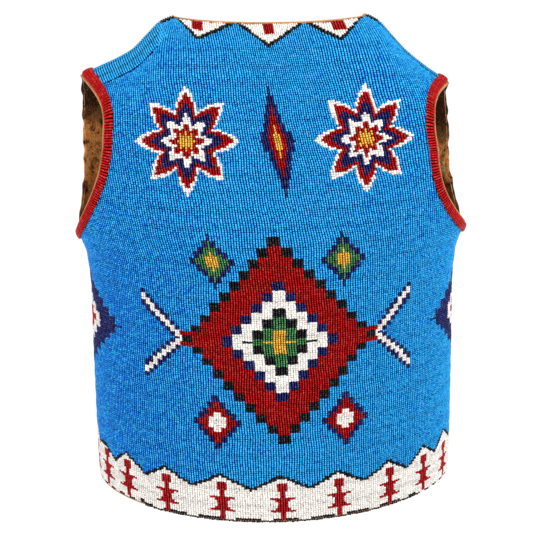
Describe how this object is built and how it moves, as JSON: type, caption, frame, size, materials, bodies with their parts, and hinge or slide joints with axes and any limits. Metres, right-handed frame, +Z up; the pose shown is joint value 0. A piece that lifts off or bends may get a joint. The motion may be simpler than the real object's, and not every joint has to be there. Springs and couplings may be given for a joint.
{
  "type": "beaded suede vest",
  "caption": "Sleeveless hide vest covered in columns of small beads, filled out as worn, open at neck, armholes, hem and centre front.",
  "frame": {"origin": "midway between the two side-neck points, on the shoulder seams' line, where the wearer's shoulders carry the vest", "axes": "+Z up, +Y the wearer's front, +X the wearer's right"},
  "size_m": [0.4006, 0.2471, 0.484],
  "materials": {
    "beadwork": "satin",
    "red_beads": "satin",
    "suede": "matte",
    "hide_edge": "matte"
  },
  "bodies": {
    "root": {"back": "beadwork", "front_left": "beadwork", "front_right": "beadwork", "armhole_binding_left": "red_beads", "armhole_binding_right": "red_beads"}
  },
  "joints": []
}
